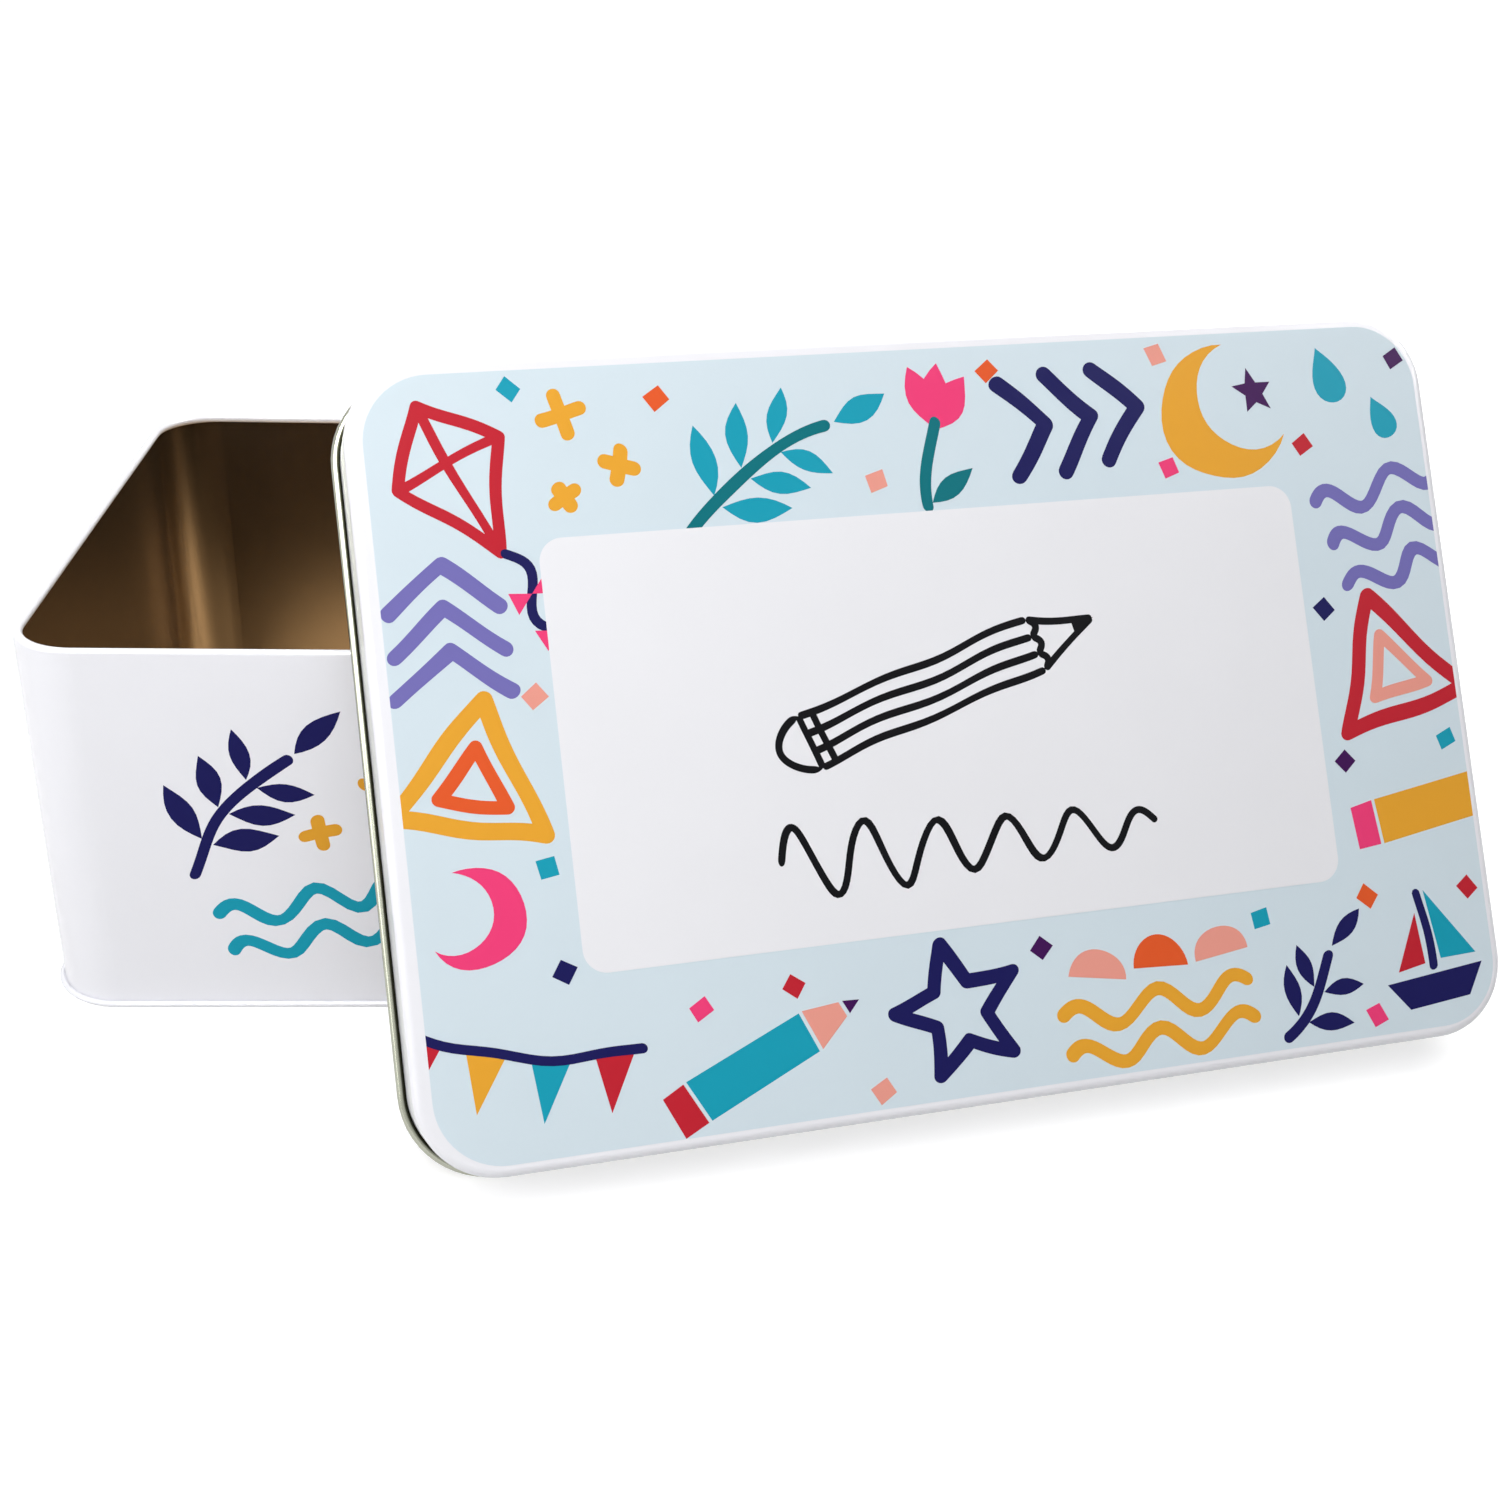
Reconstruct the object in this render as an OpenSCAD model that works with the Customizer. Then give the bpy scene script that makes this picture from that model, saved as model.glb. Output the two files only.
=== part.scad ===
// Slip-lid pencil tin in tinplate, open, with its lid stood up against the front right corner.
// Origin at the middle of the tin's underside, +X along its length, -Y to the front, +Z up.
// All sizes are in millimetres.

/* [Sheet] */
// Thickness of the tinplate
sheet = 0.3; // [0.2:0.02:0.4]

/* [Body] */
// Outer length of the body wall
body_l = 192.5; // [150:0.5:260]
// Outer width of the body wall
body_w = 129.5; // [90:0.5:180]
// Height of the rolled rim above the floor
body_h = 72; // [40:1:110]
// Outer radius of the upright corners
body_r = 12.6; // [6:0.1:20]
// Radius of the rim, rolled inward so that the lid passes outside it
rim_r = 0.85; // [0.7:0.05:1.4]
// How far round the rim is rolled, in degrees
rim_turn = 300; // [200:5:300]

/* [Side seam] */
// Width of the lock seam that joins the wall's two ends inside the back
lock_w = 5; // [3:0.5:8]
// Width of the hairline that the lock seam leaves on the outside
lock_line = 0.2; // [0.1:0.05:0.4]

/* [Base seam] */
// Play between the layers of the folded seam round the base
seam_play = 0.08; // [0.04:0.02:0.2]
// Inside radius of the bend at the foot of the wall
foot_bend = 0.2; // [0.1:0.05:0.5]
// How far the wall's flange stands out inside the fold
flange = 0.5; // [0.4:0.1:2]
// Distance of the stiffening bead from the wall
bead_inset = 11; // [8:0.5:20]
// Width of the stiffening bead pressed up in the base
bead_w = 5; // [3:0.5:8]
// Height of the stiffening bead
bead_rise = 1; // [0.5:0.1:2]
// Corner radius of the bead's loop
bead_r = 14; // [8:1:30]

/* [Lid] */
// Play between the body wall and the inside of the lid, each side
lid_play = 0.65; // [0.3:0.05:1]
// Depth of the lid over all
lid_d = 16; // [10:0.5:25]
// Outer radius of the shoulder between face and skirt
shoulder_r = 1.4; // [0.8:0.1:3]
// Radius of the hem, curled outward at the skirt's open edge
hem_r = 0.9; // [0.7:0.05:1.4]
// How far round the hem is curled, in degrees
hem_turn = 300; // [200:5:300]

/* [Leaning lid] */
// Angle of the lid from upright
lid_lean = 31.7; // [10:0.1:60]
// Angle between the lid's long edge and the tin's
lid_turn = 12.9; // [5:0.1:40]
// How far the lid's middle is shifted along its own long edge
lid_shift = 48.2; // [0:0.1:80]
// Gap left between the lid and the corner that it leans on
rest_gap = 0.3; // [0.1:0.05:1]

/* [Hidden] */
$fn = 96;

// Heights of the folded base seam: plate, flange of the wall, returned edge of the plate
flange_z = sheet + seam_play;
fold_r = (3 * sheet + 2 * seam_play) / 2;

// The bead is an arc of this radius through its two edges and its crown
bead_arc = (bead_w * bead_w / 4 + bead_rise * bead_rise) / (2 * bead_rise);

lid_l = body_l + 2 * (lid_play + sheet);
lid_w = body_w + 2 * (lid_play + sheet);
lid_r = body_r + lid_play + sheet;

// Height of the lid's middle when its lower hem touches the floor
lid_z = (lid_w / 2 + hem_r - sheet) * cos(lid_lean) + (lid_d - hem_r) * sin(lid_lean) + hem_r;

// Reach of the rim's front right corner towards the lid, along the lid's depth
corner_reach = -sin(lid_turn) * cos(lid_lean) * (body_l / 2 - body_r)
    - cos(lid_turn) * cos(lid_lean) * (body_w / 2 - body_r)
    - sin(lid_lean) * (body_h - rim_r) - (body_r - rim_r) * cos(lid_lean) - rim_r;

// Distance of the lid's middle behind the origin, square to the lid's long edge
lid_back = (corner_reach - rest_gap - sheet + lid_z * sin(lid_lean)) / cos(lid_lean);

// A bend in the sheet with outer radius r, from angle a to angle b
module bend(r, a, b) {
    intersection() {
        difference() {
            circle(r);
            circle(r - sheet);
        }
        polygon(concat([[0, 0]], [for (i = [0:4]) 2 * r * [cos(a + (b - a) * i / 4), sin(a + (b - a) * i / 4)]]));
    }
}

// Carries a section round a rounded rectangle. In the section +x points outward from the outline.
module around(l, w, r) {
    for (k = [0:3]) {
        side = k % 2 == 0 ? w : l;
        reach = k % 2 == 0 ? l : w;
        rotate([0, 0, 90 * k]) {
            translate([reach / 2, side / 2 - r, 0])
                rotate([90, 0, 0])
                    linear_extrude(height = side - 2 * r)
                        children();
            translate([reach / 2 - r, side / 2 - r, 0])
                rotate_extrude(angle = 90)
                    translate([r, 0])
                        children();
        }
    }
}

// A flat blank with rounded corners
module blank(l, w, r, t) {
    linear_extrude(height = t) {
        square([l - 2 * r, w], center = true);
        square([l, w - 2 * r], center = true);
        for (x = [-1, 1], y = [-1, 1])
            translate([x * (l / 2 - r), y * (w / 2 - r)])
                circle(r);
    }
}

// From the top: rolled rim, upright sheet, bend and flange that the base folds over
module wall_section() {
    translate([-rim_r, body_h - rim_r])
        bend(rim_r, 0, rim_turn);
    translate([-sheet, flange_z + foot_bend + sheet])
        square([sheet, body_h - rim_r - flange_z - foot_bend - sheet]);
    translate([foot_bend, flange_z + foot_bend + sheet])
        bend(foot_bend + sheet, 180, 270);
    translate([foot_bend, flange_z])
        square([flange - foot_bend, sheet]);
}

// The wall's ends hook into each other in two more layers on the inside
module lock_seam() {
    foot = flange_z + foot_bend + 2 * sheet;
    translate([0, body_w / 2 - sheet, foot])
        linear_extrude(height = body_h - 2 * rim_r - foot - sheet) {
            translate([-lock_w / 2 + sheet, -2 * sheet])
                square([lock_w - 2 * sheet, 2.5 * sheet]);
            for (x = [-1, 1])
                translate([x * (lock_w / 2 - sheet), -sheet])
                    circle(sheet);
            translate([-lock_w / 2, -sheet])
                square([lock_w, 1.5 * sheet]);
        }
}

module body_wall() {
    color([0.93, 0.93, 0.95])
    difference() {
        union() {
            around(body_l, body_w, body_r)
                wall_section();
            lock_seam();
        }
        // the hairline where the outer layer turns in
        translate([lock_w / 2 - sheet - lock_line, body_w / 2 - sheet / 2, flange_z + foot_bend + 2 * sheet])
            cube([lock_line, sheet, body_h - 2 * rim_r - flange_z - foot_bend - 3 * sheet]);
    }
}

// The returned edge of the base, hooked over the wall's flange
module fold_section() {
    translate([flange, fold_r])
        bend(fold_r, -90, 90);
    translate([sheet, 2 * fold_r - sheet])
        square([flange - sheet, sheet]);
}

// Stiffening bead, pressed up so that the base still stands on its flat
module bead_section() {
    difference() {
        intersection() {
            translate([0, bead_rise - bead_arc])
                circle(bead_arc + sheet);
            translate([-bead_w, 0])
                square([2 * bead_w, bead_w]);
        }
        translate([0, bead_rise - bead_arc])
            circle(bead_arc);
    }
}

module base_plate() {
    color([0.9, 0.9, 0.92])
    union() {
        difference() {
            blank(body_l + 2 * flange, body_w + 2 * flange, body_r + flange, sheet);
            around(body_l - 2 * bead_inset, body_w - 2 * bead_inset, bead_r)
                translate([-bead_w / 2, -sheet])
                    square([bead_w, 3 * sheet]);
        }
        around(body_l - 2 * bead_inset, body_w - 2 * bead_inset, bead_r)
            bead_section();
        around(body_l, body_w, body_r)
            fold_section();
    }
}

// From the face: shoulder, skirt and the hem curled outward
module skirt_section() {
    translate([-shoulder_r, -shoulder_r])
        bend(shoulder_r, 0, 90);
    translate([-sheet, hem_r - lid_d])
        square([sheet, lid_d - hem_r - shoulder_r]);
    translate([hem_r - sheet, hem_r - lid_d])
        bend(hem_r, 180, 180 + hem_turn);
}

// Drawn lid, modelled lying face up and then stood on its lower hem
module lid_shell() {
    color([0.86, 0.92, 0.95])
    rotate([0, 0, lid_turn])
        translate([lid_shift, lid_back, lid_z])
            rotate([90 - lid_lean, 0, 0]) {
                translate([0, 0, -sheet])
                    blank(lid_l - 2 * shoulder_r, lid_w - 2 * shoulder_r, lid_r - shoulder_r, sheet);
                around(lid_l, lid_w, lid_r)
                    skirt_section();
            }
}

body_wall();
base_plate();
lid_shell();
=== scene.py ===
import math

import bmesh
import bpy
from mathutils import Matrix, Vector


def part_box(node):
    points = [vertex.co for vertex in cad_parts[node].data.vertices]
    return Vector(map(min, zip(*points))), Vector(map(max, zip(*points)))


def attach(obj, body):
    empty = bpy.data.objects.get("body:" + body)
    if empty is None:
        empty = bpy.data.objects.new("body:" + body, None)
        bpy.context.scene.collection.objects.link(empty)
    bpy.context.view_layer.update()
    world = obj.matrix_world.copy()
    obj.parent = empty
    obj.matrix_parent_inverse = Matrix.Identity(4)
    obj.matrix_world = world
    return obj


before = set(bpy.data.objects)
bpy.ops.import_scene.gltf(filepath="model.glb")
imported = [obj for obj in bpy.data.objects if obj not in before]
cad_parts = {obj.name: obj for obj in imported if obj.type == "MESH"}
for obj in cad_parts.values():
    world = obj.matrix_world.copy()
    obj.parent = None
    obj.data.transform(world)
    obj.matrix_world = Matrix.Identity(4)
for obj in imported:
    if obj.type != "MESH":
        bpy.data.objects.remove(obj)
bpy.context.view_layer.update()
scene = bpy.context.scene

# The camera stands a forearm's length in front of the tin, a little right of its middle, and looks
# down at it by about 27 degrees, tipped slightly to one side.
LENS_MM, FILM_MM = 47.71, 36.0
EYE = (0.01565, -0.37415, 0.21343)
TURN_RIGHT, LOOK_DOWN, TIP = (math.radians(a) for a in (2.98, 27.27, 1.64))
cam_data = bpy.data.cameras.new("camera")
cam_data.sensor_width = FILM_MM
cam_data.lens = LENS_MM
cam_data.clip_start = 0.01
camera = bpy.data.objects.new("camera", cam_data)
camera.matrix_world = (
    Matrix.Translation(EYE)
    @ Matrix.Rotation(-TURN_RIGHT, 4, "Z")
    @ Matrix.Rotation(math.pi / 2 - LOOK_DOWN, 4, "X")
    @ Matrix.Rotation(TIP, 4, "Z")
)
scene.collection.objects.link(camera)
scene.camera = camera
scene.view_settings.view_transform = "Standard"

# Soft studio light: a main box near the tin on its left, one overhead, a low one at the left and one
# that fills in from the right rear, and two that give shine alone. The room is white to the eye and
# gives little light of its own.
WHITE = (1.0, 1.0, 1.0, 1.0)
ROOM_LIGHT = 0.10
SHINE_AIM = (-0.08, 0.05, 0.0)
world = bpy.data.worlds.new("studio")
scene.world = world
world.use_nodes = True
room_tree = world.node_tree
room_tree.nodes.clear()


def area_light(name, place, aim, width, height, watts):
    """A softbox at a place, turned towards what it lights."""
    data = bpy.data.lights.new(name, "AREA")
    data.shape = "RECTANGLE"
    data.size = width
    data.size_y = height
    data.energy = watts
    lamp = bpy.data.objects.new(name, data)
    lamp.location = place
    lamp.rotation_mode = "QUATERNION"
    lamp.rotation_quaternion = (Vector(aim) - Vector(place)).to_track_quat("-Z", "Y")
    scene.collection.objects.link(lamp)
    return lamp


def calc(tree, operation, *values):
    """A Math node fed with sockets or plain numbers. Gives its output."""
    node = tree.nodes.new("ShaderNodeMath")
    node.operation = operation
    for socket, value in zip(node.inputs, values):
        if isinstance(value, (int, float)):
            socket.default_value = value
        else:
            tree.links.new(value, socket)
    return node.outputs[0]


def seen_directly(tree):
    """1 for rays that see, mirror or pass on the background, 0 for those that only carry light."""
    path = tree.nodes.new("ShaderNodeLightPath").outputs
    seen_or_mirrored = calc(tree, "MAXIMUM", path["Is Camera Ray"], path["Is Glossy Ray"])
    return calc(tree, "MAXIMUM", seen_or_mirrored, path["Is Transmission Ray"])


area_light("main_box", (-0.12, -0.37, 0.49), (0.02, -0.04, 0.05), 0.40, 0.40, 1.86)
area_light("overhead_box", (0.12, 0.01, 0.69), (0.02, 0.0, 0.05), 0.60, 0.60, 2.3)
area_light("low_box", (-0.44, -0.30, 0.22), (-0.05, -0.06, 0.05), 0.30, 0.30, 0.80)
back_box = area_light("back_box", (0.44, 0.52, 0.50), (0.0, 0.04, 0.03), 0.50, 0.50, 3.4)
back_box.visible_glossy = False
shine_right = area_light("shine_right", (0.76, -0.03, 0.84), SHINE_AIM, 0.70, 0.45, 26.0)
shine_front = area_light("shine_front", (-0.36, -0.55, 0.85), SHINE_AIM, 0.50, 0.45, 25.0)
for shine in (shine_right, shine_front):
    shine.visible_diffuse = False
room = room_tree.nodes.new("ShaderNodeBackground")
room.inputs["Color"].default_value = WHITE
strength = calc(room_tree, "MULTIPLY_ADD", seen_directly(room_tree), 1.0 - ROOM_LIGHT, ROOM_LIGHT)
room_tree.links.new(strength, room.inputs["Strength"])
world_out = room_tree.nodes.new("ShaderNodeOutputWorld")
room_tree.links.new(room.outputs[0], world_out.inputs["Surface"])

# The table is a wide sheet of matt white paper that runs out of sight behind the tin.
# It glows to the eye alone, less near the tin, so that it reads as white and still takes the shadow.
PAPER_REACH = 6.0
PAPER_DROP = 0.00005
PAPER_TONE = (0.60, 0.60, 0.60, 1.0)
NEAR, FAR = 0.2, 0.9
NEAR_GLOW, FAR_GLOW = 0.65, 0.97
bm = bmesh.new()
bmesh.ops.create_grid(bm, x_segments=1, y_segments=1, size=PAPER_REACH)
bmesh.ops.translate(bm, verts=bm.verts, vec=(0.0, 0.0, -PAPER_DROP))
mesh = bpy.data.meshes.new("floor")
bm.to_mesh(mesh)
bm.free()
floor = bpy.data.objects.new("floor", mesh)
scene.collection.objects.link(floor)
paper = bpy.data.materials.new("paper")
paper.use_nodes = True
paper_tree = paper.node_tree
paper_surface = paper_tree.nodes["Principled BSDF"].inputs
paper_surface["Base Color"].default_value = PAPER_TONE
paper_surface["Roughness"].default_value = 0.9
paper_surface["Specular IOR Level"].default_value = 0.1
paper_surface["Emission Color"].default_value = WHITE
away = paper_tree.nodes.new("ShaderNodeVectorMath")
away.operation = "LENGTH"
paper_tree.links.new(paper_tree.nodes.new("ShaderNodeTexCoord").outputs["Object"], away.inputs[0])
glow = paper_tree.nodes.new("ShaderNodeMapRange")
glow.inputs["From Min"].default_value = NEAR
glow.inputs["From Max"].default_value = FAR
glow.inputs["To Min"].default_value = NEAR_GLOW
glow.inputs["To Max"].default_value = FAR_GLOW
paper_tree.links.new(away.outputs["Value"], glow.inputs["Value"])
glow_seen = calc(paper_tree, "MULTIPLY", seen_directly(paper_tree), glow.outputs[0])
paper_tree.links.new(glow_seen, paper_surface["Emission Strength"])
floor.data.materials.append(paper)

# Body wall: one strip of tinplate wrapped into four sides, its rim rolled inward to a round edge.
# The sheet is coated before it is bent, with white enamel outside and gold lacquer inside.
WALL_LENGTH, WALL_WIDTH, WALL_CORNER = 0.1925, 0.1295, 0.0126
RIM_ROLL = 0.0017
SHEET = 0.0003
HALF_SHEET = SHEET / 2
ENAMEL_WHITE = (244, 244, 249)
LACQUER_GOLD = (141, 124, 101)
WALL_SATIN = 0.20
STREAK_ROUGHNESS = 0.04
UPRIGHT_GRAIN = (1.0, 1.0, 0.03)


def srgb(red, green, blue):
    """A colour read off a paint card, 0 to 255 a channel, in the linear values of a shader."""
    return tuple(((c / 255 + 0.055) / 1.055) ** 2.4 for c in (red, green, blue)) + (1.0,)


def new_group(name, inputs, outputs):
    """A node group with its sockets made, and the sockets of its two end nodes."""
    group = bpy.data.node_groups.new(name, "ShaderNodeTree")
    for direction, sockets in (("INPUT", inputs), ("OUTPUT", outputs)):
        for label, kind in sockets:
            group.interface.new_socket(label, in_out=direction, socket_type="NodeSocket" + kind)
    given = group.nodes.new("NodeGroupInput").outputs
    result = group.nodes.new("NodeGroupOutput").inputs
    return group, given, result


def use_group(tree, group, **values):
    """A node group in a material, fed with sockets or plain values by the names of its inputs."""
    node = tree.nodes.new("ShaderNodeGroup")
    node.node_tree = group
    for label, value in values.items():
        socket = node.inputs[label.replace("_", " ")]
        if isinstance(value, bpy.types.NodeSocket):
            tree.links.new(value, socket)
        else:
            socket.default_value = value
    return node.outputs


def noise(tree, place, scale, detail):
    """Soft noise over a place, around 0.5."""
    node = tree.nodes.new("ShaderNodeTexNoise")
    node.inputs["Scale"].default_value = scale
    node.inputs["Detail"].default_value = detail
    tree.links.new(place, node.inputs["Vector"])
    return node.outputs["Fac"]


def between(tree, share, low, high):
    """A value that goes from low to high as a share goes from 0 to 1."""
    return calc(tree, "MULTIPLY_ADD", share, high - low, low)


def tint(tree, colour, factor):
    """A colour made lighter or darker by a factor."""
    node = tree.nodes.new("ShaderNodeVectorMath")
    node.operation = "SCALE"
    tree.links.new(colour, node.inputs[0])
    tree.links.new(factor, node.inputs["Scale"])
    return node.outputs[0]


def bump(tree, height, depth):
    """A normal that follows a height between 0 and 1, over a depth in metres."""
    node = tree.nodes.new("ShaderNodeBump")
    node.inputs["Distance"].default_value = depth
    tree.links.new(height, node.inputs["Height"])
    return node.outputs[0]


def mix(tree, kind, share, first, second):
    """Blends two colours, values or vectors by a share of 0 to 1."""
    node = tree.nodes.new("ShaderNodeMix")
    node.data_type = kind
    start = {"FLOAT": 2, "VECTOR": 4, "RGBA": 6}[kind]
    for index, value in ((0, share), (start, first), (start + 1, second)):
        tree.links.new(value, node.inputs[index])
    return node.outputs[{"FLOAT": 0, "VECTOR": 1, "RGBA": 2}[kind]]


def past_round(tree, first, second, radius):
    """How far a point lies outside a rounded corner, from its two offsets past the corner's centre."""
    beyond = [calc(tree, "POWER", calc(tree, "MAXIMUM", side, 0.0), 2.0) for side in (first, second)]
    outside = calc(tree, "SQRT", calc(tree, "ADD", *beyond))
    within = calc(tree, "MINIMUM", calc(tree, "MAXIMUM", first, second), 0.0)
    return calc(tree, "SUBTRACT", calc(tree, "ADD", outside, within), radius)


# How far a point lies outside the outline of a box with rounded corners, negative inside it.
box_outline, given, result = new_group(
    "box outline",
    [("Place", "Vector"), ("Half Length", "Float"), ("Half Width", "Float"), ("Corner", "Float")],
    [("Distance", "Float")],
)
split = box_outline.nodes.new("ShaderNodeSeparateXYZ")
box_outline.links.new(given["Place"], split.inputs[0])
past_straight = []
for axis, half in (("X", "Half Length"), ("Y", "Half Width")):
    straight = calc(box_outline, "SUBTRACT", given[half], given["Corner"])
    from_middle = calc(box_outline, "ABSOLUTE", split.outputs[axis])
    past_straight.append(calc(box_outline, "SUBTRACT", from_middle, straight))
box_outline.links.new(past_round(box_outline, *past_straight, given["Corner"]), result["Distance"])

# Enamel that was rolled on and baked: faint clouds in the white and a fine orange peel.
enamel, given, result = new_group(
    "rolled enamel",
    [("Place", "Vector"), ("Colour", "Color")],
    [("Colour", "Color"), ("Roughness", "Float"), ("Normal", "Vector")],
)
clouds = noise(enamel, given["Place"], scale=26.0, detail=3.0)
enamel.links.new(tint(enamel, given["Colour"], between(enamel, clouds, 0.97, 1.02)), result["Colour"])
sheen = noise(enamel, given["Place"], scale=60.0, detail=2.0)
enamel.links.new(between(enamel, sheen, 0.20, 0.28), result["Roughness"])
peel = noise(enamel, given["Place"], scale=500.0, detail=1.0)
enamel.links.new(bump(enamel, peel, depth=0.000005), result["Normal"])

# Gold lacquer over rolled tinplate: an even satin metal, with the faint grain of the sheet in it.
lacquer, given, result = new_group(
    "gold lacquer",
    [("Place", "Vector"), ("Grain", "Vector"), ("Colour", "Color"), ("Satin", "Float")],
    [("Colour", "Color"), ("Roughness", "Float"), ("Normal", "Vector")],
)
drawn_out = lacquer.nodes.new("ShaderNodeVectorMath")
drawn_out.operation = "MULTIPLY"
lacquer.links.new(given["Place"], drawn_out.inputs[0])
lacquer.links.new(given["Grain"], drawn_out.inputs[1])
streaks = noise(lacquer, drawn_out.outputs[0], scale=1500.0, detail=2.0)
coat = noise(lacquer, given["Place"], scale=22.0, detail=2.0)
lacquer.links.new(tint(lacquer, given["Colour"], between(lacquer, coat, 0.95, 1.05)), result["Colour"])
rough = calc(lacquer, "MULTIPLY_ADD", streaks, STREAK_ROUGHNESS, given["Satin"])
lacquer.links.new(rough, result["Roughness"])
lacquer.links.new(bump(lacquer, streaks, depth=0.0000006), result["Normal"])


def coated_tin(name, inside, grain, satin, edge_tone_and_shade=None):
    """Tinplate with enamel where inside gives 0 and gold lacquer where it gives 1.

    The edge tone, if given, gives the lacquer's colour from place to place, as over a curled edge, with
    painted shade where the curl closes up.
    """
    material = bpy.data.materials.new(name)
    material.use_nodes = True
    tree = material.node_tree
    surface = tree.nodes["Principled BSDF"].inputs
    place = tree.nodes.new("ShaderNodeTexCoord").outputs["Object"]
    gold_side = inside(tree, place)
    white = use_group(tree, enamel, Place=place, Colour=srgb(*ENAMEL_WHITE))
    tone = edge_tone_and_shade(tree, place) if edge_tone_and_shade else srgb(*LACQUER_GOLD)
    gold = use_group(tree, lacquer, Place=place, Grain=grain, Colour=tone, Satin=satin)
    for kind, label, socket in (
        ("RGBA", "Colour", "Base Color"),
        ("FLOAT", "Roughness", "Roughness"),
        ("VECTOR", "Normal", "Normal"),
    ):
        tree.links.new(mix(tree, kind, gold_side, white[label], gold[label]), surface[socket])
    tree.links.new(gold_side, surface["Metallic"])
    return material


def within_wall(tree, place):
    """1 inside the wall's middle line and 0 outside it, and the height of a point above the floor."""
    outline = use_group(
        tree, box_outline, Place=place,
        Half_Length=WALL_LENGTH / 2, Half_Width=WALL_WIDTH / 2, Corner=WALL_CORNER,
    )
    height = tree.nodes.new("ShaderNodeSeparateXYZ")
    tree.links.new(place, height.inputs[0])
    return calc(tree, "LESS_THAN", outline["Distance"], -HALF_SHEET), height.outputs["Z"]


def inside_wall(tree, place):
    """1 on the inner face of the wall, up to the foot of the rolled rim."""
    within, height = within_wall(tree, place)
    rim_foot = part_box("body_wall")[1][2] - RIM_ROLL
    return calc(tree, "MULTIPLY", within, calc(tree, "LESS_THAN", height, rim_foot))


def finish_node(name, material):
    """Gives a piece of the frame its finish."""
    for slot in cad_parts[name].material_slots:
        slot.material = material


finish_node("body_wall", coated_tin("body_enamel", inside_wall, UPRIGHT_GRAIN, WALL_SATIN))

# Base plate: a pressing with a stiffening bead, folded over the wall's flange all round.
# It comes from the same coated sheet, gold side up, so only its folded edge shows white.
BASE_SATIN = 0.45
LENGTHWISE_GRAIN = (0.03, 1.0, 1.0)


def inside_base(tree, place):
    """1 on the upper face of the plate, within the wall."""
    within, height = within_wall(tree, place)
    return calc(tree, "MULTIPLY", within, calc(tree, "GREATER_THAN", height, HALF_SHEET))


finish_node("base_plate", coated_tin("base_enamel", inside_base, LENGTHWISE_GRAIN, BASE_SATIN))

# Lid: one drawn pressing with a rounded shoulder, leaning on the tin's front right corner.
# White outside and gold inside; its hem is curled outward, so the gold side faces out there.
LID_PLAY = 0.00065
LID_LENGTH, LID_WIDTH = (size + 2 * (LID_PLAY + SHEET) for size in (WALL_LENGTH, WALL_WIDTH))
LID_CORNER = WALL_CORNER + LID_PLAY + SHEET
LID_DEPTH = 0.016
SHOULDER = 0.0014
MM = 0.001
HEM_EDGE = 0.0005
HEM_REACH = 1.5
# The hem's tones run outward from the skirt: the dark band next to it is painted shade in the crevice,
# and the paler tones lie further out on the curl.
HEM_TONES_WITH_PAINTED_SHADE = (
    (0.0, LACQUER_GOLD), (0.03, (34, 34, 24)), (0.45, (46, 46, 34)), (0.63, (130, 132, 118)),
    (0.90, (162, 164, 150)),
)
LID_TURN, LID_LEAN = math.radians(12.9), math.radians(31.7)
lid_axes = Matrix.Rotation(LID_TURN, 4, "Z") @ Matrix.Rotation(math.pi / 2 - LID_LEAN, 4, "X")
laid_flat = [lid_axes.inverted() @ v.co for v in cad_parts["lid_shell"].data.vertices]
lid_middle = Vector(
    [(min(p[k] for p in laid_flat) + max(p[k] for p in laid_flat)) / 2 for k in (0, 1)]
    + [max(p.z for p in laid_flat)]
)
lid_face = lid_axes @ Matrix.Translation(lid_middle)


def lid_section(tree, place):
    """How far a point lies outside the lid's outline and above its face, the lid laid face up."""
    own = tree.nodes.new("ShaderNodeMapping")
    own.vector_type = "TEXTURE"
    own.inputs["Location"].default_value = lid_face.translation
    own.inputs["Rotation"].default_value = lid_face.to_euler()
    tree.links.new(place, own.inputs["Vector"])
    outline = use_group(
        tree, box_outline, Place=own.outputs[0],
        Half_Length=LID_LENGTH / 2, Half_Width=LID_WIDTH / 2, Corner=LID_CORNER,
    )["Distance"]
    depth = tree.nodes.new("ShaderNodeSeparateXYZ")
    tree.links.new(own.outputs[0], depth.inputs[0])
    return outline, depth.outputs["Z"]


def inside_lid(tree, place):
    """1 on the inner faces and on the curled hem."""
    outline, height = lid_section(tree, place)
    out, up = (calc(tree, "ADD", value, SHOULDER) for value in (outline, height))
    inner = calc(tree, "LESS_THAN", past_round(tree, out, up, SHOULDER), -HALF_SHEET)
    curl = calc(tree, "GREATER_THAN", outline, HALF_SHEET / 3)
    edge = calc(tree, "LESS_THAN", height, HEM_EDGE - LID_DEPTH)
    return calc(tree, "MAXIMUM", calc(tree, "MAXIMUM", inner, curl), edge)


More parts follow.
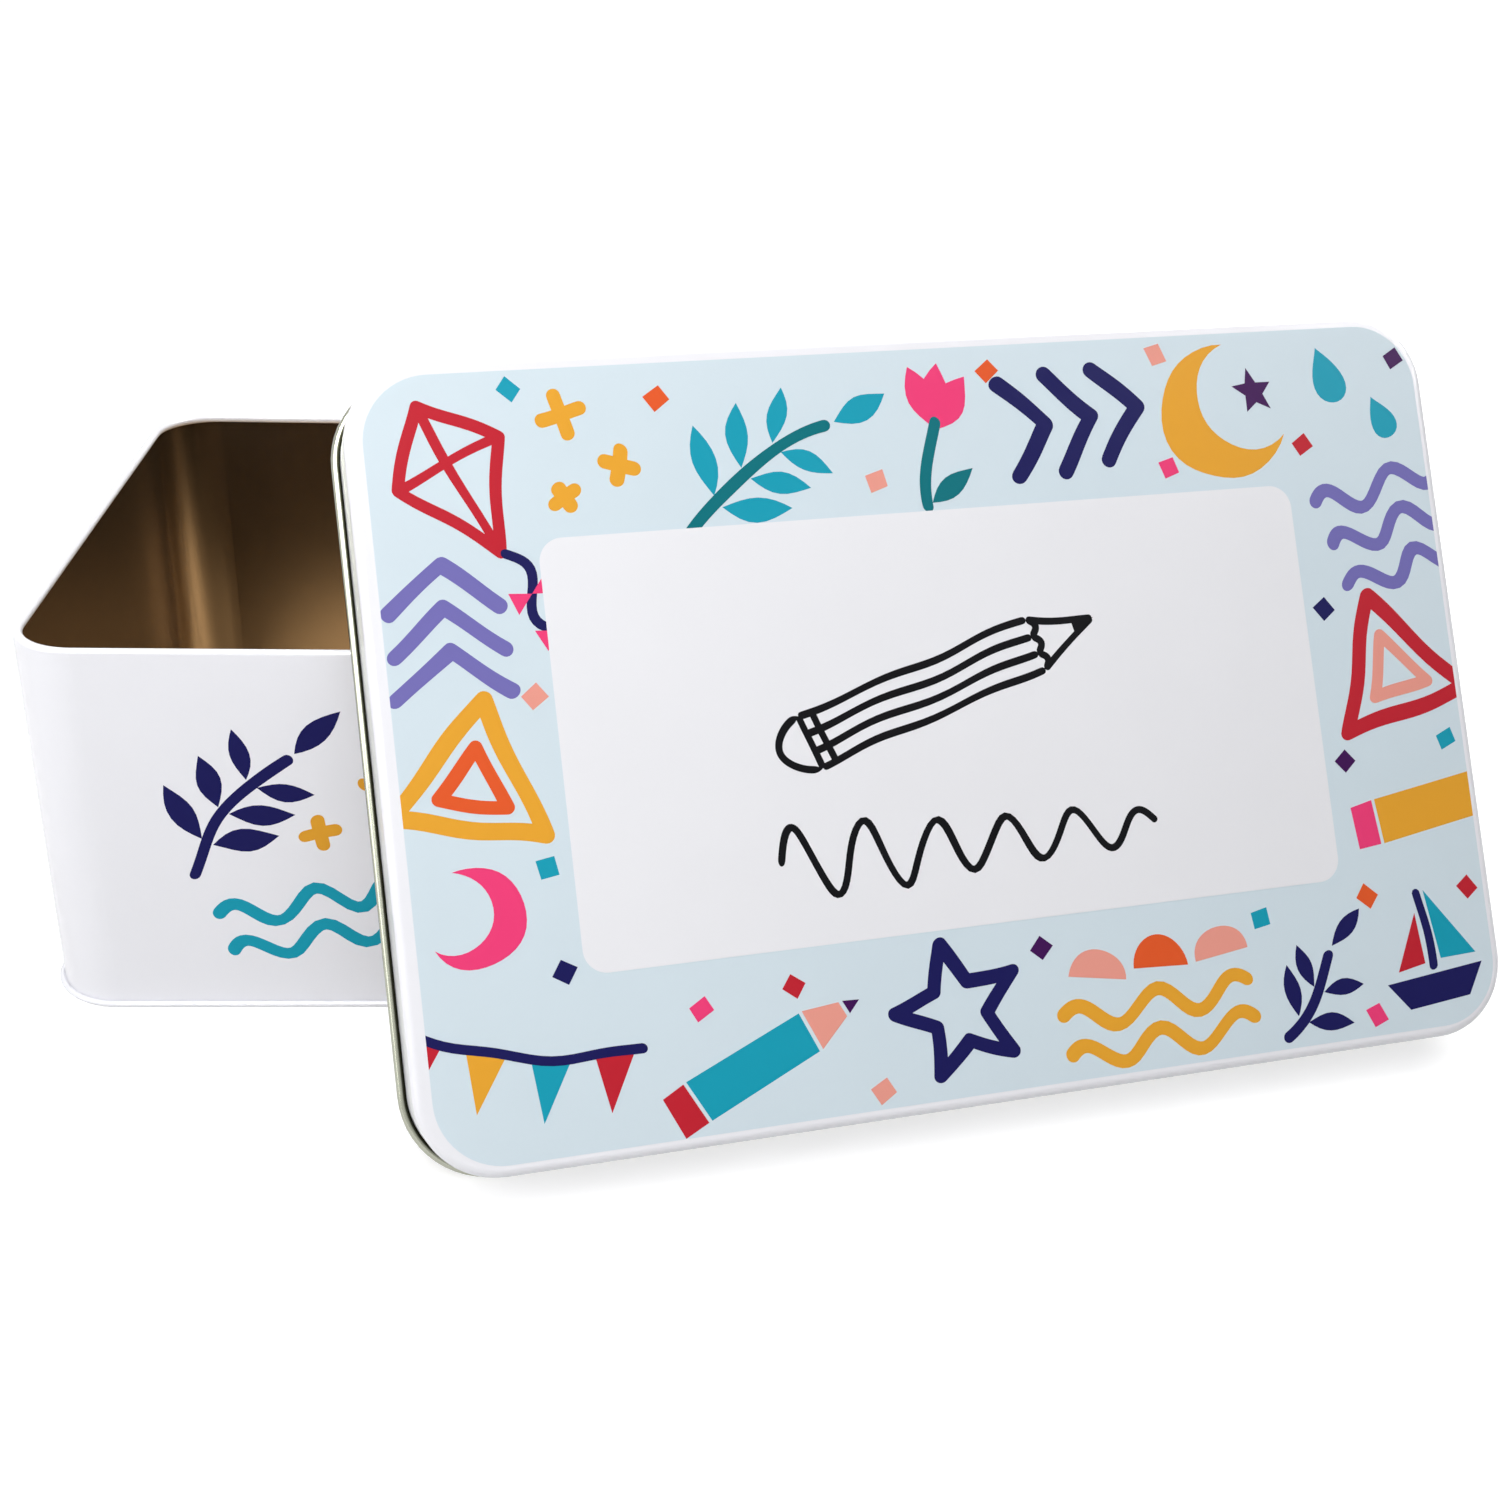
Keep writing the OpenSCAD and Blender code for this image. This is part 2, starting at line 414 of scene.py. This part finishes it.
def hem_tone_and_painted_crevice_shade(tree, place):
    """Lacquer that is stretched thin and pale over the curl, with painted shade: darkened where the curl
    closes up against the skirt.
    """
    outline = lid_section(tree, place)[0]
    tones_and_crevice_shade = tree.nodes.new("ShaderNodeValToRGB")
    ramp = tones_and_crevice_shade.color_ramp
    while len(ramp.elements) < len(HEM_TONES_WITH_PAINTED_SHADE):
        ramp.elements.new(0.5)
    for stop, (millimetres, colour) in zip(ramp.elements, HEM_TONES_WITH_PAINTED_SHADE):
        stop.position = millimetres / HEM_REACH
        stop.color = srgb(*colour)
    tree.links.new(calc(tree, "DIVIDE", outline, HEM_REACH * MM), tones_and_crevice_shade.inputs["Fac"])
    return tones_and_crevice_shade.outputs["Color"]


# The lid's curled hem carries painted shade, with the lacquer darkened where the curl closes up against
# the skirt.
lid_coat = coated_tin("lid_enamel", inside_lid, LENGTHWISE_GRAIN, WALL_SATIN, hem_tone_and_painted_crevice_shade)
finish_node("lid_shell", lid_coat)

# Print ground: pale blue ink rolled over the lid's face, up to a white margin along the shoulder.
# A satin varnish goes over the whole print, so every colour has the same sheen.
FIELD_LENGTH, FIELD_WIDTH, FIELD_CORNER = 189.6, 127.0, 11.2
FIELD_MIDDLE = Vector((0.6, -0.3, 0.0))
GROUND_FILM = 0.02
GROUND_BLUE = (216, 230, 238)
VARNISH_SHINE = 0.06

varnished, given, result = new_group(
    "varnished ink",
    [("Place", "Vector"), ("Colour", "Color")],
    [("Colour", "Color"), ("Roughness", "Float"), ("Normal", "Vector")],
)
density = between(varnished, noise(varnished, given["Place"], scale=34.0, detail=4.0), 0.975, 1.025)
varnished.links.new(tint(varnished, given["Colour"], density), result["Colour"])
satin = noise(varnished, given["Place"], scale=160.0, detail=4.0)
varnished.links.new(between(varnished, satin, 0.26, 0.40), result["Roughness"])
tooth = noise(varnished, given["Place"], scale=700.0, detail=1.0)
varnished.links.new(bump(varnished, tooth, depth=0.000012), result["Normal"])


def ink_finish(name, colour):
    """Printing ink under satin varnish."""
    material = bpy.data.materials.new(name)
    material.use_nodes = True
    tree = material.node_tree
    surface = tree.nodes["Principled BSDF"].inputs
    place = tree.nodes.new("ShaderNodeTexCoord").outputs["Object"]
    film = use_group(tree, varnished, Place=place, Colour=srgb(*colour))
    tree.links.new(film["Colour"], surface["Base Color"])
    tree.links.new(film["Roughness"], surface["Roughness"])
    tree.links.new(film["Normal"], surface["Normal"])
    surface["Specular IOR Level"].default_value = VARNISH_SHINE
    return material


def lay_film(bm, name, colour, sheet, thickness, body):
    """Thickens flat shapes, drawn in millimetres on a sheet, to a film of ink and lays it there."""
    made = bmesh.ops.extrude_face_region(bm, geom=bm.faces[:])
    top = [item for item in made["geom"] if isinstance(item, bmesh.types.BMVert)]
    bmesh.ops.translate(bm, verts=top, vec=(0.0, 0.0, thickness))
    bmesh.ops.recalc_face_normals(bm, faces=bm.faces)
    bmesh.ops.transform(bm, matrix=sheet @ Matrix.Scale(MM, 4), verts=bm.verts)
    mesh = bpy.data.meshes.new(name)
    bm.to_mesh(mesh)
    bm.free()
    piece = bpy.data.objects.new(name, mesh)
    scene.collection.objects.link(piece)
    mesh.materials.append(ink_finish(name, colour))
    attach(piece, body)


def rounded_panel(length, width, corner, middle):
    """A flat panel with rounded corners, in millimetres."""
    bm = bmesh.new()
    bmesh.ops.create_grid(bm, x_segments=1, y_segments=1, size=0.5)
    bmesh.ops.scale(bm, vec=(length, width, 1.0), verts=bm.verts)
    bmesh.ops.bevel(
        bm, geom=bm.verts[:], offset=corner, offset_type="OFFSET", affect="VERTICES",
        segments=14, profile=0.5, material=-1,
    )
    bmesh.ops.translate(bm, verts=bm.verts, vec=(middle[0], middle[1], 0.0))
    return bm


lay_film(
    rounded_panel(FIELD_LENGTH, FIELD_WIDTH, FIELD_CORNER, FIELD_MIDDLE),
    "print_ground", GROUND_BLUE, lid_face, GROUND_FILM, "lid",
)

# Printed marks: bold round-ended strokes and flat shapes, one screen of ink for each colour.
# They run off the edge of the print on every side, and under the label in the middle.
INKS = {
    "teal": (28, 160, 185),
    "mustard": (236, 168, 53),
    "red": (196, 38, 52),
    "navy": (27, 26, 88),
    "lavender": (119, 113, 183),
    "salmon": (240, 160, 145),
    "magenta": (244, 66, 124),
    "orange": (232, 93, 45),
    "plum": (66, 20, 84),
    "petrol": (13, 115, 125),
}
INK_FILM = 0.012
INK_STEP = 0.002
HAIR = 0.0002
WAVER = 0.35
PEN = 2.0
THIN_PEN = 1.6
INNER_PEN = 2.2
MIDDLE_PEN = 2.4
CHEVRON_PEN = 2.6
BROAD_PEN = 2.8
TANGENT_STEP = 0.0005
MERGE_WITHIN = 0.0005
LEAF_ANGLE = 52.0
LEAF_SLIM = 0.36


class Screen:
    """One colour's printing screen: shapes in millimetres on the sheet, each a hair above the last."""

    def __init__(self):
        self.bm = bmesh.new()
        self.shapes = 0

    def lay(self, verts, points):
        """Puts vertices at points of the sheet, with the slight waver of a hand-cut stencil."""
        self.shapes += 1
        for vert, (x, y) in zip(verts, points):
            x, y = x + WAVER * math.sin(0.29 * y + 0.11 * x), y + WAVER * math.sin(0.33 * x - 0.09 * y)
            vert.co = (x, y, HAIR * self.shapes)

    def stroke(self, curve, width=PEN, steps=36):
        """A stroke with round ends, along a curve that a share of 0 to 1 runs through."""
        length = sum((curve((k + 1) / steps) - curve(k / steps)).length for k in range(steps))
        verts = bmesh.ops.create_grid(self.bm, x_segments=steps, y_segments=1, size=0.5)["verts"]
        points = []
        for vert in verts:
            share = 0.5 - 0.5 * math.cos(math.pi * (vert.co.x + 0.5))
            to_end = length * min(share, 1.0 - share)
            half_width = width / 2
            if to_end < half_width:
                half_width = math.sqrt(max(0.0, to_end * (width - to_end)))
            ahead = curve(share + TANGENT_STEP) - curve(share - TANGENT_STEP)
            side = Vector((-ahead.y, ahead.x)).normalized() * math.copysign(1.0, vert.co.y)
            points.append(curve(share) + side * half_width)
        self.lay(verts, points)
        bmesh.ops.remove_doubles(self.bm, verts=verts, dist=MERGE_WITHIN)

    def fill(self, points):
        """A flat shape with the given corners."""
        made = bmesh.ops.create_circle(self.bm, cap_ends=True, radius=1.0, segments=len(points))
        self.lay(made["verts"], points)

    def chain(self, points, width=PEN):
        """Straight strokes from point to point."""
        for start, end in zip(points, points[1:]):
            past = (end - start).normalized() * width / 2
            self.stroke(line(start - past, end + past), width, 24)


def spot(x, y, turn=0.0):
    """A motif's own frame on the sheet: gives the sheet's point for a point of the motif."""
    c, s = math.cos(math.radians(turn)), math.sin(math.radians(turn))
    return lambda a, b: Vector((x + a * c - b * s, y + a * s + b * c))


def line(start, end, bow=0.0):
    """A line from start to end, bowed to its left by a few millimetres."""
    left = Vector((start.y - end.y, end.x - start.x)).normalized()
    return lambda t: start.lerp(end, t) + left * bow * 4 * t * (1 - t)


def wave(start, end, height, turns):
    """A sine wave from start to end."""
    left = Vector((start.y - end.y, end.x - start.x)).normalized()
    return lambda t: start.lerp(end, t) + left * height * math.sin(2 * math.pi * turns * t)


def arc(at, radius, start, end):
    """Part of a circle round a motif's middle, between two angles in degrees."""
    return lambda t: at(
        radius * math.cos(math.radians(start + (end - start) * t)),
        radius * math.sin(math.radians(start + (end - start) * t)),
    )


def leaf(at, x, y, turn, length, width):
    """The outline of an almond-shaped leaf that grows from a point of a motif."""
    own = spot(x, y, turn)
    edge = [(k / 8, math.sin(math.pi * k / 8)) for k in range(9)]
    shape = [(s * length, w * width / 2) for s, w in edge]
    shape += [(s * length, -w * width / 2) for s, w in edge[-2:0:-1]]
    return [at(*own(a, b)) for a, b in shape]


def plus(ink, at, size):
    """Two crossed strokes."""
    ink.stroke(line(at(-size, 0), at(size, 0)), MIDDLE_PEN, 20)
    ink.stroke(line(at(0, -size), at(0, size)), MIDDLE_PEN, 20)


def outlined(ink, at, corners, width=PEN):
    """A straight-sided outline with rounded joints."""
    points = [at(*corner) for corner in corners]
    ink.chain(points + points[:1], width)


def polygon(sides, radius, first=90.0, inner=None):
    """Corners of a regular polygon, or of a star where an inner radius is given."""
    count = sides * 2 if inner else sides
    reach = [inner if inner and k % 2 else radius for k in range(count)]
    turns = [math.radians(first + 360.0 * k / count) for k in range(count)]
    return [(r * math.cos(a), r * math.sin(a)) for r, a in zip(reach, turns)]


def sprig(stem_ink, leaf_ink, at, length, pairs, leaf_size, bow=3.0):
    """A bowed stem with pairs of leaves, smaller and smaller, and one leaf past its tip."""
    stem = line(Vector((0.0, 0.0)), Vector((length, 0.0)), bow)
    stem_ink.stroke(lambda t: at(*stem(t)), PEN)
    for k in range(pairs):
        share = 0.22 + 0.68 * k / pairs
        root, ahead = stem(share), stem(share + 0.01) - stem(share - 0.01)
        along = math.degrees(math.atan2(ahead.y, ahead.x))
        size = leaf_size * (1.0 - 0.10 * k)
        for side in (-1, 1):
            turn = along + side * LEAF_ANGLE
            leaf_ink.fill(leaf(at, root.x + 1.0, root.y + side * 1.1, turn, size, size * LEAF_SLIM))
    leaf_ink.fill(leaf(at, length + 0.8, 0.0, -8.0, leaf_size * 0.9, leaf_size * LEAF_SLIM))


def ripples(ink, at, length, rows, gap, height, turns):
    """Rows of one wave, the next above the last."""
    for k in range(rows):
        y = gap * (k - (rows - 1) / 2)
        crest = wave(Vector((0, y)), Vector((length, y)), height, turns)
        ink.stroke(lambda t: at(*crest(t)), MIDDLE_PEN, 60)


def crescent(ink, at, radius):
    """A moon: an outer arc and a smaller one that bites into it."""
    bite, shift = radius * 0.80, radius * 0.46
    meet = math.degrees(math.acos((radius**2 + shift**2 - bite**2) / (2 * radius * shift)))
    horn_x, horn_y = radius * math.cos(math.radians(meet)), radius * math.sin(math.radians(meet))
    turn_in = math.degrees(math.atan2(horn_y, horn_x - shift))
    outer = arc(at, radius, meet, 360.0 - meet)
    inner = arc(lambda a, b: at(a + shift, b), bite, 360.0 - turn_in, turn_in)
    ink.fill([outer(k / 28) for k in range(29)] + [inner(k / 22) for k in range(1, 22)])


def half_disc(ink, at, radius):
    """Half a disc that stands on its straight side."""
    ink.fill([arc(at, radius, 0.0, 180.0)(k / 20) for k in range(21)])


def tulip(petal_ink, green_ink, at, size):
    """Three petals on a stem with one leaf."""
    green_ink.stroke(line(at(0, -size * 1.9), at(0, 0), size * 0.12), PEN)
    green_ink.fill(leaf(at, 0.6, -size * 1.7, 48.0, size * 1.1, size * 0.42))
    for lean in (26.0, -26.0, 0.0):
        petal_ink.fill(leaf(at, 0.0, -size * 0.25, 90.0 + lean, size * 1.35, size * 0.62))


def kite(ink, tail_ink, bow_ink, at, size):
    """A kite with crossed spars, a waving tail and bows on it."""
    corners = [(0, size), (size * 0.68, size * 0.2), (0, -size), (-size * 0.68, size * 0.2)]
    outlined(ink, at, corners)
    ink.stroke(line(at(0, size), at(0, -size)), THIN_PEN, 16)
    ink.stroke(line(at(*corners[3]), at(*corners[1])), THIN_PEN, 16)
    tail = wave(Vector((0, -size)), Vector((size * 0.25, -size * 2.5)), size * 0.16, 1.2)
    tail_ink.stroke(lambda t: at(*tail(t)), THIN_PEN)
    for share in (0.42, 0.8):
        knot = tail(share)
        for side in (-1, 1):
            bow_ink.fill([
                at(knot.x, knot.y),
                at(knot.x + side * size * 0.24, knot.y + size * 0.15),
                at(knot.x + side * size * 0.24, knot.y - size * 0.15),
            ])


def crayon(body_ink, wood_ink, lead_ink, end_ink, at, length, width):
    """A pencil laid along its own x, with a bare cone and a coloured lead."""
    cap, cone, bare_end, lead = width * 0.7, width * 1.3, width * 0.45, width * 0.36
    gap = 0.6

    def block(ink, start, end, start_width, end_width):
        corners = ((start, -start_width), (end, -end_width), (end, end_width), (start, start_width))
        ink.fill([at(a, b / 2) for a, b in corners])

    block(body_ink, cap, length - cone, width, width)
    block(end_ink, gap, cap - gap, width, width)
    block(wood_ink, length - cone + gap, length - bare_end, width, width * 0.34)
    lead_ink.fill([at(length - lead, -width * 0.15), at(length, 0), at(length - lead, width * 0.15)])


def pennants(line_ink, inks, at, length, sag, count):
    """Flags on a sagging line."""
    rope = line(Vector((0.0, 0.0)), Vector((length, 0.0)), -sag)
    line_ink.stroke(lambda t: at(*rope(t)), THIN_PEN)
    for k in range(count):
        middle = (k + 0.5) / count
        left, right = rope(middle - 0.32 / count), rope(middle + 0.32 / count)
        tip = (left + right) / 2 - Vector((0.0, length / count * 0.95))
        inks[k % len(inks)].fill([at(*left), at(*tip), at(*right)])


def confetti(screens, marks):
    """Small turned squares: colour, place, size and turn of each."""
    for name, x, y, size, turn in marks:
        at = spot(x, y, turn)
        screens[name].fill([at(*corner) for corner in polygon(4, size * 0.71, 45.0)])


def drop(ink, at, size):
    """A raindrop, pointed at one end."""
    turns = [2 * math.pi * k / 30 for k in range(30)]
    ink.fill([
        at(size * 0.5 * math.cos(a), size * 0.42 * math.sin(a) * math.sin(a / 2) ** 1.4) for a in turns
    ])


def boat(hull_ink, main_ink, fore_ink, at, size):
    """A boat with a mast and two sails."""
    hull = ((-0.55, 0.0), (-0.36, -0.32), (0.36, -0.32), (0.55, 0.0))
    hull_ink.fill([at(size * a, size * b) for a, b in hull])
    hull_ink.stroke(line(at(0, 0), at(0, size * 0.9)), THIN_PEN, 16)
    main_ink.fill([at(size * a, size * b) for a, b in ((0.09, 0.10), (0.50, 0.10), (0.09, 0.86))])
    fore_ink.fill([at(size * a, size * b) for a, b in ((-0.09, 0.10), (-0.09, 0.66), (-0.40, 0.10))])


lid_ink = {name: Screen() for name in INKS}
kite(lid_ink["red"], lid_ink["navy"], lid_ink["magenta"], spot(-80.0, 46.0, 24.0), 13.5)
for x, y, size, turn in (
    (-62.0, 55.5, 4.6, 10.0), (-53.5, 46.5, 3.6, -12.0), (-62.5, 41.5, 3.0, 30.0),
):
    plus(lid_ink["mustard"], spot(x, y, turn), size)
sprig(lid_ink["petrol"], lid_ink["teal"], spot(-43.0, 33.0, 34.0), 32.0, 3, 12.0)
tulip(lid_ink["magenta"], lid_ink["petrol"], spot(2.5, 51.0, -10.0), 8.6)
for k in range(3):
    at = spot(19.5 + 8.6 * k, 48.5 + 0.9 * k, 6.0)
    lid_ink["navy"].chain([at(-4.0, 8.4), at(3.4, 0.0), at(-4.0, -8.4)], BROAD_PEN)
crescent(lid_ink["mustard"], spot(56.5, 49.0, 30.0), 12.0)
lid_ink["plum"].fill([spot(63.0, 52.5, 8.0)(*corner) for corner in polygon(5, 4.2, 90.0, 1.9)])
for x, y, size in ((78.0, 54.5, 10.5), (88.0, 46.5, 8.5)):
    drop(lid_ink["teal"], spot(x, y, 110.0), size)
ripples(lid_ink["lavender"], spot(74.0, 23.0, 14.0), 34.0, 3, 7.6, 2.4, 2.6)
outlined(lid_ink["red"], spot(83.5, 0.0, 14.0), polygon(3, 14.5, 90.0), BROAD_PEN)
outlined(lid_ink["salmon"], spot(83.5, 0.0, 14.0), polygon(3, 6.6, 90.0), INNER_PEN)
crayon(lid_ink["mustard"], lid_ink["salmon"], lid_ink["navy"], lid_ink["magenta"],
       spot(71.0, -27.5, 10.0), 42.0, 7.8)
boat(lid_ink["navy"], lid_ink["teal"], lid_ink["red"], spot(83.5, -54.0, 6.0), 17.0)
sprig(lid_ink["navy"], lid_ink["navy"], spot(52.5, -62.0, 52.0), 18.0, 2, 9.0, -1.6)
for k, name in enumerate(("salmon", "orange", "salmon")):
    half_disc(lid_ink[name], spot(43.0 - 12.0 * k, -46.0 - 0.6 * k, 4.0 - 6.0 * k), 5.2)
ripples(lid_ink["mustard"], spot(12.0, -57.0, 3.0), 36.0, 2, 6.6, 2.2, 2.5)
outlined(lid_ink["navy"], spot(-6.0, -49.5, 12.0), polygon(5, 11.5, 90.0, 5.1), MIDDLE_PEN)
crayon(lid_ink["teal"], lid_ink["salmon"], lid_ink["plum"], lid_ink["red"],
       spot(-57.0, -60.5, 24.0), 37.0, 7.8)
pennants(lid_ink["navy"], [lid_ink["red"], lid_ink["mustard"], lid_ink["teal"]],
         spot(-100.0, -39.5, -12.0), 42.0, 3.5, 4)
crescent(lid_ink["magenta"], spot(-84.5, -24.5, 160.0), 8.2)
outlined(lid_ink["mustard"], spot(-82.5, -3.5, -12.0), polygon(3, 14.0, 90.0), BROAD_PEN)
outlined(lid_ink["orange"], spot(-82.5, -3.5, -12.0), polygon(3, 6.4, 90.0), INNER_PEN)
for k in range(3):
    at = spot(-84.0, 14.5 + 7.0 * k, 90.0)
    lid_ink["lavender"].chain([at(-3.4, 9.0), at(3.4, 0.0), at(-3.4, -9.0)], CHEVRON_PEN)
confetti(lid_ink, [
    ("teal", -70.0, 60.0, 3.0, 50), ("orange", -45.5, 57.5, 3.2, 35), ("salmon", -9.0, 41.0, 3.2, 12),
    ("orange", 13.0, 59.0, 3.0, 40), ("salmon", 45.0, 60.0, 3.2, 18), ("magenta", 45.0, 40.0, 3.0, 15),
    ("red", 71.0, 42.0, 3.0, 30), ("plum", 91.5, 57.0, 3.0, 25), ("navy", 71.5, 12.5, 3.0, 40),
    ("plum", 71.5, -15.0, 3.0, 35), ("teal", 92.0, -13.0, 3.0, 20), ("orange", 72.0, -39.5, 3.2, 50),
    ("red", 92.5, -40.0, 3.0, 40), ("magenta", 71.0, -60.0, 3.2, 22), ("teal", 51.0, -41.0, 3.0, 12),
    ("plum", 9.5, -41.0, 3.0, 45), ("salmon", -20.5, -60.5, 3.2, 30), ("red", -34.0, -41.5, 3.0, 50),
    ("magenta", -50.0, -43.5, 3.0, 28), ("teal", -72.0, -18.0, 3.0, 15), ("navy", -71.5, -34.5, 3.0, 60),
    ("salmon", -71.5, 9.5, 3.2, 35),
])


TRIM_STEP = 10


def trim_to_field(bm):
    """Cuts the marks off where the print ends, along its straight sides and round its corners."""
    for degrees in range(0, 360, TRIM_STEP):
        out = Vector((math.cos(math.radians(degrees)), math.sin(math.radians(degrees)), 0.0))
        corner = Vector((
            math.copysign(FIELD_LENGTH / 2 - FIELD_CORNER, out.x),
            math.copysign(FIELD_WIDTH / 2 - FIELD_CORNER, out.y),
            0.0,
        ))
        bmesh.ops.bisect_plane(
            bm, geom=bm.verts[:] + bm.edges[:] + bm.faces[:], dist=0.0001,
            plane_co=FIELD_MIDDLE + corner + out * FIELD_CORNER, plane_no=out, clear_outer=True,
        )


for order, (name, colour) in enumerate(INKS.items()):
    marks = lid_ink[name].bm
    trim_to_field(marks)
    bmesh.ops.translate(marks, verts=marks.verts, vec=(0.0, 0.0, GROUND_FILM + INK_STEP * order))
    lay_film(marks, "ink_" + name, colour, lid_face, INK_FILM, "lid")

# Label: a white panel left for the owner, printed over the marks in opaque white.
# A plain line drawing of a pencil and the line that it draws fills it, in black.
LABEL_LENGTH, LABEL_WIDTH, LABEL_CORNER = 135.5, 70.9, 4.0
LABEL_MIDDLE = (-0.3, -0.3)
LABEL_FILM = 0.06
LABEL_WHITE = (241, 241, 245)
DRAWING_BLACK = (12, 12, 16)
FINE_PEN = 1.25
lay_film(
    rounded_panel(LABEL_LENGTH, LABEL_WIDTH, LABEL_CORNER, LABEL_MIDDLE),
    "label_panel", LABEL_WHITE, lid_face, LABEL_FILM, "lid",
)
PENCIL_LENGTH, PENCIL_WIDTH = 62.0, 9.0
CONE, FERRULE, RUBBER = 11.0, 7.0, 6.0
FERRULE_WIDTH = 2.6
SCALLOP = 1.3
LEAD_LENGTH, LEAD_WIDTH = 3.6, 2.8
LINE_LENGTH, LINE_HEIGHT, LINE_PLACE = 68.0, 6.5, -22.0
HALF_WAVES = 11
drawing = Screen()
pencil = spot(-33.0, -4.0, 17.0)
cone_foot = PENCIL_LENGTH - CONE
half = PENCIL_WIDTH / 2
for y in (-half, -half / 3, half / 3, half):
    drawing.stroke(line(pencil(FERRULE, y), pencil(cone_foot, y)), FINE_PEN)
for x in (FERRULE, FERRULE + FERRULE_WIDTH):
    drawing.stroke(line(pencil(x, -half), pencil(x, half)), FINE_PEN, 20)
drawing.stroke(
    lambda t: pencil(FERRULE - RUBBER * abs(math.sin(math.pi * t)) ** 0.6, PENCIL_WIDTH * (t - 0.5)),
    FINE_PEN,
)
for side in (-1, 1):
    drawing.stroke(line(pencil(cone_foot, side * half), pencil(PENCIL_LENGTH, 0.0)), FINE_PEN)
for side in (-1, 0, 1):
    low, high = (side - 0.5) * PENCIL_WIDTH / 3, (side + 0.5) * PENCIL_WIDTH / 3
    drawing.stroke(line(pencil(cone_foot, low), pencil(cone_foot, high), -SCALLOP), FINE_PEN, 20)
drawing.fill([
    pencil(PENCIL_LENGTH - LEAD_LENGTH, -LEAD_WIDTH / 2),
    pencil(PENCIL_LENGTH + 0.3, 0.0),
    pencil(PENCIL_LENGTH - LEAD_LENGTH, LEAD_WIDTH / 2),
])


def drawn_line(t):
    """The line that the pencil draws: a wave that flattens from left to right."""
    rise = LINE_HEIGHT * (1.0 - 0.6 * t) * math.sin(HALF_WAVES * math.pi * t)
    return Vector((LINE_LENGTH * (t - 0.5), LINE_PLACE + rise))


drawing.stroke(drawn_line, FINE_PEN, 160)
bmesh.ops.translate(drawing.bm, verts=drawing.bm.verts, vec=(0.0, 0.0, LABEL_FILM))
lay_film(drawing.bm, "label_drawing", DRAWING_BLACK, lid_face, INK_FILM, "lid")

# Front wall's print: a few of the same marks straight on the white enamel, before the strip is bent.
# They stand along the front, and the leaning lid hides more than half of them.
wall_front = Matrix.Translation((0.0, -WALL_WIDTH / 2, 0.0)) @ Matrix.Rotation(math.pi / 2, 4, "X")
wall_ink = {name: Screen() for name in ("navy", "teal", "mustard", "orange")}
sprig(wall_ink["navy"], wall_ink["navy"], spot(-67.5, 27.0, 52.0), 32.0, 3, 12.5)
ripples(wall_ink["teal"], spot(-63.0, 15.0, 12.0), 50.0, 2, 7.6, 2.5, 3.4)
for x, y, size, turn in ((-44.0, 36.5, 3.8, 12.0), (-34.0, 46.0, 3.0, -14.0)):
    plus(wall_ink["mustard"], spot(x, y, turn), size)
tulip(wall_ink["orange"], wall_ink["teal"], spot(-14.0, 45.0, 8.0), 10.0)
kite(wall_ink["navy"], wall_ink["teal"], wall_ink["orange"], spot(16.0, 44.0, -20.0), 13.0)
crescent(wall_ink["mustard"], spot(44.0, 40.0, 30.0), 11.0)
for k in range(3):
    at = spot(64.0 + 8.0 * k, 38.0 + 1.0 * k, 6.0)
    wall_ink["navy"].chain([at(-3.6, 7.6), at(3.0, 0.0), at(-3.6, -7.6)], CHEVRON_PEN)
ripples(wall_ink["teal"], spot(24.0, 14.0, 4.0), 54.0, 2, 7.6, 2.5, 3.5)
for order, (name, screen) in enumerate(wall_ink.items()):
    bmesh.ops.translate(screen.bm, verts=screen.bm.verts, vec=(0.0, 0.0, INK_STEP * order))
    lay_film(screen.bm, "wall_ink_" + name, INKS[name], wall_front, INK_FILM, "tin")
